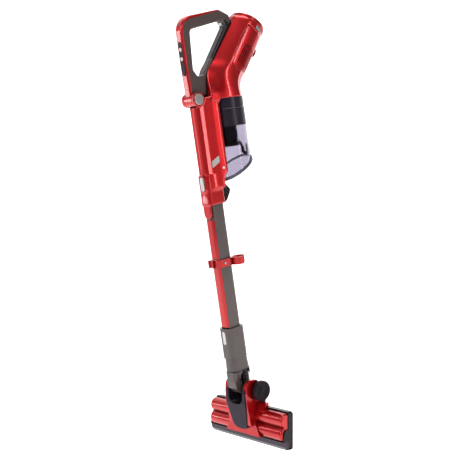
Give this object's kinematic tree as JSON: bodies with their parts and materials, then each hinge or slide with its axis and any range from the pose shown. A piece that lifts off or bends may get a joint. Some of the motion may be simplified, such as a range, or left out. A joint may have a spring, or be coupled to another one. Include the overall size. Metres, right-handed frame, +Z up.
{
  "type": "upright vacuum cleaner",
  "caption": "Cordless stick vacuum: folding loop handle, tilted motor housing over a clear cyclone cup, wand with tool clip, steerable floor head with powered brush.",
  "frame": {"origin": "centre of the hanging eye on the back of the motor housing", "axes": "+Z up along the wand, -Y towards the user's front side (red strip), +X to the right of the head"},
  "size_m": [0.29, 0.2797, 1.1507],
  "materials": {
    "spine_shell": "glossy candy red",
    "motor_housing": "glossy candy red",
    "motor_cap": "glossy candy red",
    "vent_panels": "glossy candy red",
    "handle_shell": "glossy candy red",
    "wand_cover": "glossy candy red",
    "tool_clip": "glossy candy red",
    "head_cover": "glossy candy red",
    "handle_frame": "warm grey, fine satin",
    "handle_liner": "warm grey, fine satin",
    "wand_tube": "warm grey, fine satin",
    "neck_collar": "warm grey, fine satin",
    "swivel_fork": "warm grey, fine satin",
    "head_shield": "warm grey, fine satin",
    "pivot_cradle": "black satin",
    "head_bumper": "dark smoky gloss",
    "cup_collar": "black satin",
    "cup_ring": "black satin",
    "cyclone_shroud": "black satin",
    "cup_lever": "black satin",
    "lid_bracket": "black satin",
    "control_panel": "black satin",
    "swivel_ring": "black satin",
    "head_base": "black satin",
    "end_caps": "black satin",
    "motor_pulley": "black satin",
    "battery_holder": "black satin",
    "air_duct": "black satin",
    "dc_jack": "black satin",
    "wand_button": "satin silver plating",
    "neck_button": "satin silver plating",
    "cap_latch": "satin silver plating",
    "hinge_button_right": "satin silver plating",
    "hinge_button_left": "satin silver plating",
    "side_badges": "satin silver plating",
    "handle_latch": "satin silver plating",
    "power_button": "satin silver plating",
    "mode_button": "satin silver plating",
    "hinge_pins": "plain",
    "head_pins": "plain",
    "clip_screw": "plain",
    "body_screws": "plain",
    "suction_motor": "plain",
    "brush_motor": "plain",
    "bellows_hose": "black",
    "drive_belt": "black",
    "motor_mount": "black",
    "wheel_right": "black",
    "wheel_left": "black",
    "sole_rollers": "black",
    "dust_cup": "smoky clear plastic",
    "cup_lid": "smoky clear plastic",
    "lid_rim": "dark smoky edge",
    "cup_filter": "pleated",
    "exhaust_filter": "pleated",
    "battery_cells": "wrapped cells",
    "circuit_board": "board",
    "impeller": "plain",
    "sole_plate": "satin edge plate",
    "brush_roll": "roller with bristle tufts"
  },
  "bodies": {
    "main_body": {"spine_shell": "spine_shell", "motor_housing": "motor_housing", "motor_cap": "motor_cap", "vent_panels": "vent_panels", "exhaust_filter": "exhaust_filter", "motor_mount": "motor_mount", "suction_motor": "suction_motor", "handle_liner": "handle_liner", "battery_cells": "battery_cells", "battery_holder": "battery_holder", "circuit_board": "circuit_board", "air_duct": "air_duct", "hinge_pins": "hinge_pins", "side_badges": "side_badges", "body_screws": "body_screws", "dc_jack": "dc_jack", "cup_collar": "cup_collar"},
    "fan": {"impeller": "impeller"},
    "cap_latch": {"cap_latch": "cap_latch"},
    "wand_release": {"wand_button": "wand_button"},
    "cup_lever": {"cup_lever": "cup_lever"},
    "dust_cup": {"dust_cup": "dust_cup", "cup_ring": "cup_ring", "cyclone_shroud": "cyclone_shroud", "cup_filter": "cup_filter", "lid_bracket": "lid_bracket"},
    "cup_lid": {"cup_lid": "cup_lid", "lid_rim": "lid_rim"},
    "handle": {"handle_shell": "handle_shell", "handle_frame": "handle_frame", "control_panel": "control_panel"},
    "power_button": {"power_button": "power_button"},
    "mode_button": {"mode_button": "mode_button"},
    "handle_latch": {"handle_latch": "handle_latch"},
    "hinge_button_right": {"hinge_button_right": "hinge_button_right"},
    "hinge_button_left": {"hinge_button_left": "hinge_button_left"},
    "wand": {"wand_tube": "wand_tube", "wand_cover": "wand_cover", "tool_clip": "tool_clip", "clip_screw": "clip_screw"},
    "neck": {"neck_collar": "neck_collar"},
    "neck_release": {"neck_button": "neck_button"},
    "swivel": {"swivel_fork": "swivel_fork", "swivel_ring": "swivel_ring", "bellows_hose": "bellows_hose"},
    "floor_head": {"head_cover": "head_cover", "head_shield": "head_shield", "pivot_cradle": "pivot_cradle", "head_base": "head_base", "sole_plate": "sole_plate", "head_bumper": "head_bumper", "end_caps": "end_caps", "head_pins": "head_pins", "brush_motor": "brush_motor", "drive_belt": "drive_belt"},
    "wheel_right": {"wheel_right": "wheel_right"},
    "wheel_left": {"wheel_left": "wheel_left"},
    "brush_roll": {"brush_roll": "brush_roll"},
    "motor_pulley": {"motor_pulley": "motor_pulley"},
    "sole_rollers": {"sole_rollers": "sole_rollers"}
  },
  "joints": [
    {"name": "fan_spin", "type": "hinge", "parent": "main_body", "child": "fan", "pos_m": [0, -0.07617, -0.00719], "axis": [0, 0.6361, 0.7716], "continuous": true},
    {"name": "cap_latch_press", "type": "slide", "parent": "main_body", "child": "cap_latch", "axis": [-0.9848, -0.134, 0.1105], "range_m": [0, 0.0012], "stiffness_N_per_m": 400},
    {"name": "wand_release_press", "type": "slide", "parent": "main_body", "child": "wand_release", "axis": [0, 1, 0], "range_m": [0, 0.0025], "stiffness_N_per_m": 400},
    {"name": "cup_lever_pull", "type": "hinge", "parent": "main_body", "child": "cup_lever", "pos_m": [0, -0.17634, -0.33951], "axis": [-1, 0, 0], "range_deg": [0, 6.5], "stiffness_Nm_per_rad": 0.5},
    {"name": "cup_slide", "type": "slide", "parent": "main_body", "child": "dust_cup", "axis": [0, 1, 0], "range_m": [0, 0.12]},
    {"name": "lid_swing", "type": "hinge", "parent": "dust_cup", "child": "cup_lid", "pos_m": [0, -0.06874, -0.25901], "axis": [1, 0, 0], "range_deg": [0, 80]},
    {"name": "handle_fold", "type": "hinge", "parent": "main_body", "child": "handle", "pos_m": [0, -0.23034, -0.10451], "axis": [1, 0, 0], "range_deg": [0, 95]},
    {"name": "power_press", "type": "slide", "parent": "handle", "child": "power_button", "axis": [0, 1, 0], "range_m": [0, 0.0012], "stiffness_N_per_m": 400},
    {"name": "mode_press", "type": "slide", "parent": "handle", "child": "mode_button", "axis": [0, 1, 0], "range_m": [0, 0.0012], "stiffness_N_per_m": 400},
    {"name": "handle_latch_slide", "type": "slide", "parent": "handle", "child": "handle_latch", "axis": [0, -1, 0], "range_m": [0, 0.0018], "stiffness_N_per_m": 400},
    {"name": "hinge_press_right", "type": "slide", "parent": "main_body", "child": "hinge_button_right", "axis": [-1, 0, 0], "range_m": [0, 0.002], "stiffness_N_per_m": 400},
    {"name": "hinge_press_left", "type": "slide", "parent": "main_body", "child": "hinge_button_left", "axis": [1, 0, 0], "range_m": [0, 0.002], "stiffness_N_per_m": 400},
    {"name": "wand_slide", "type": "slide", "parent": "main_body", "child": "wand", "axis": [0, 0, -1], "range_m": [0, 0.06]},
    {"name": "neck_slide", "type": "slide", "parent": "wand", "child": "neck", "axis": [0, 0, -1], "range_m": [0, 0.06]},
    {"name": "neck_release_press", "type": "slide", "parent": "neck", "child": "neck_release", "axis": [0, 1, 0], "range_m": [0, 0.0025], "stiffness_N_per_m": 400},
    {"name": "head_steer", "type": "hinge", "parent": "neck", "child": "swivel", "pos_m": [0, -0.20634, -0.82551], "axis": [0, 0, 1], "range_deg": [-60, 60]},
    {"name": "head_pitch", "type": "hinge", "parent": "swivel", "child": "floor_head", "pos_m": [0, -0.21034, -0.88151], "axis": [-1, 0, 0], "range_deg": [0, 79.5], "deforming": ["bellows_hose"]},
    {"name": "wheel_right_spin", "type": "hinge", "parent": "floor_head", "child": "wheel_right", "pos_m": [0.0545, -0.18281, -0.88662], "axis": [1, 0, 0], "continuous": true},
    {"name": "wheel_left_spin", "type": "hinge", "parent": "floor_head", "child": "wheel_left", "pos_m": [-0.0545, -0.18281, -0.88662], "axis": [1, 0, 0], "continuous": true},
    {"name": "brush_spin", "type": "hinge", "parent": "floor_head", "child": "brush_roll", "pos_m": [0, -0.19246, -0.98806], "axis": [1, 0, 0], "continuous": true},
    {"name": "pulley_spin", "type": "hinge", "parent": "floor_head", "child": "motor_pulley", "pos_m": [-0.12, -0.18353, -0.95361], "axis": [1, 0, 0], "continuous": true},
    {"name": "sole_roller_spin", "type": "hinge", "parent": "floor_head", "child": "sole_rollers", "pos_m": [0, -0.17045, -0.95603], "axis": [1, 0, 0], "continuous": true}
  ],
  "couplings": [
    {"joint": "pulley_spin", "follows": "brush_spin", "ratio": 2.1881}
  ]
}
